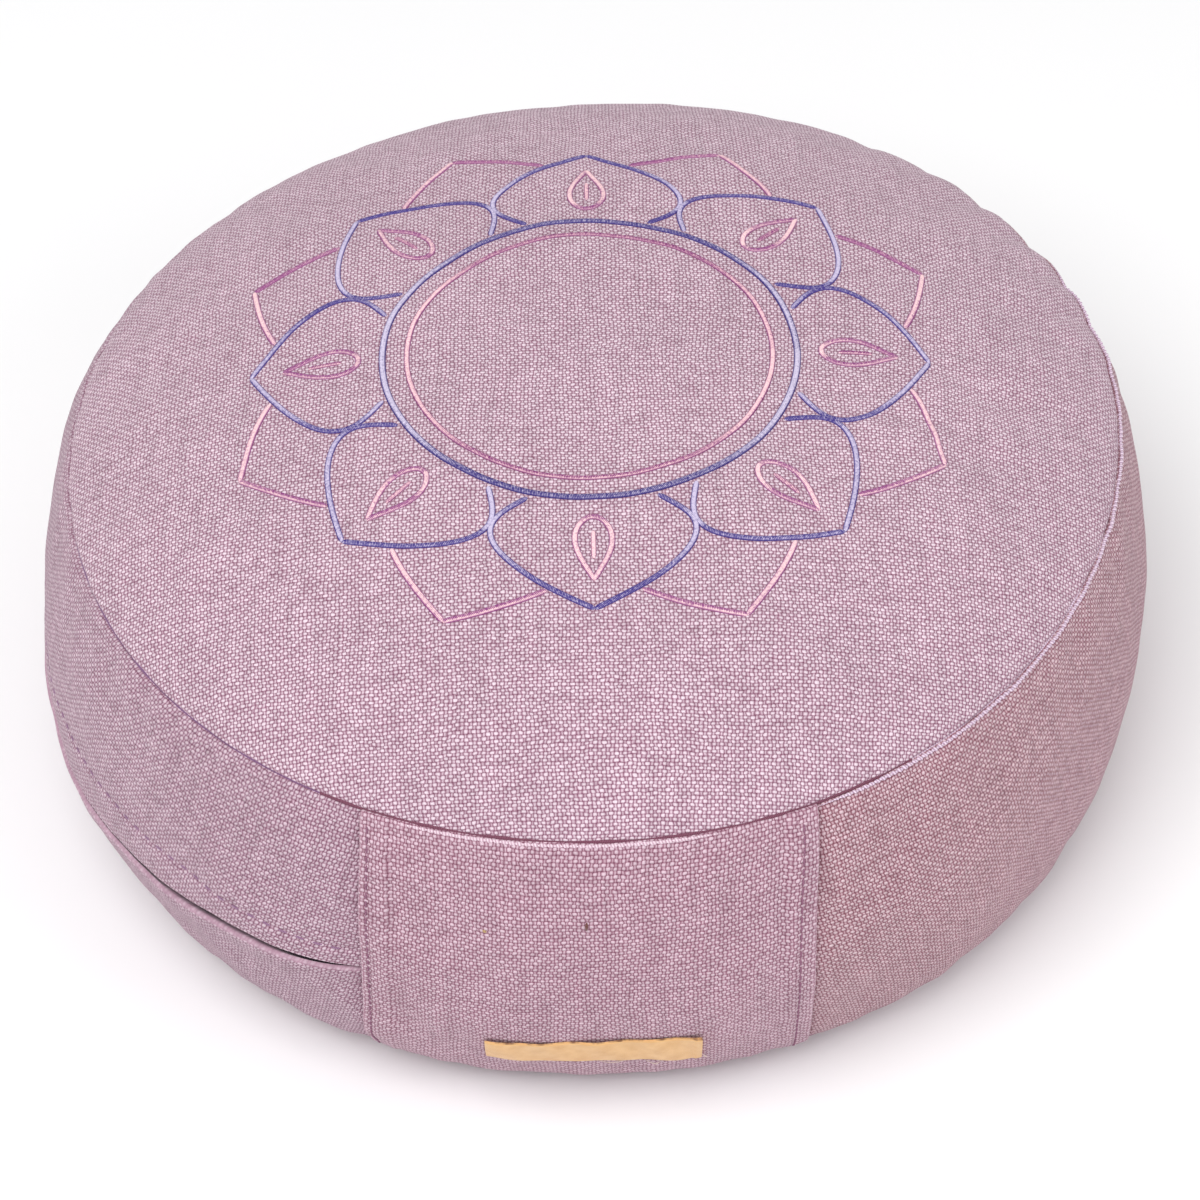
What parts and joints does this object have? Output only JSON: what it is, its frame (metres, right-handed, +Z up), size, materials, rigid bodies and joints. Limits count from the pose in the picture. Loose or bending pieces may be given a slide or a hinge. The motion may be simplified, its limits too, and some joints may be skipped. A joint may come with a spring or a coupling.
{
  "type": "meditation cushion",
  "caption": "Round filled floor cushion with a crowned top, an upright band with a placket slit, a flat base and a bare ribbon label.",
  "frame": {"origin": "on the floor, under the middle of the cushion", "axes": "+Z up, from the flat base to the crown; the front panel with the label faces -Y; +X to the right of someone facing it"},
  "size_m": [0.3545, 0.364, 0.15],
  "materials": {
    "filling": "plain cotton, hidden under the panels",
    "top_cloth": "coarse plain-woven cotton, dusty mauve, matt",
    "base_cloth": "coarse plain-woven cotton, dusty mauve, matt",
    "front_cloth": "coarse plain-woven cotton, dusty mauve, matt",
    "plain_cloth": "coarse plain-woven cotton, redder mauve, matt",
    "flap_cloth": "coarse plain-woven cotton, dusty mauve, matt",
    "strip_cloth": "coarse plain-woven cotton, dusty mauve, matt",
    "tape": "dark grey-mauve woven tape",
    "ribbon": "tan woven ribbon, satin"
  },
  "bodies": {
    "root": {"filled_cushion": "filling", "top_panel": "top_cloth", "base_panel": "base_cloth", "front_panel": "front_cloth", "plain_panel": "plain_cloth", "placket_flap": "flap_cloth", "placket_strip": "strip_cloth", "placket_tape": "tape", "label": "ribbon"}
  },
  "joints": []
}
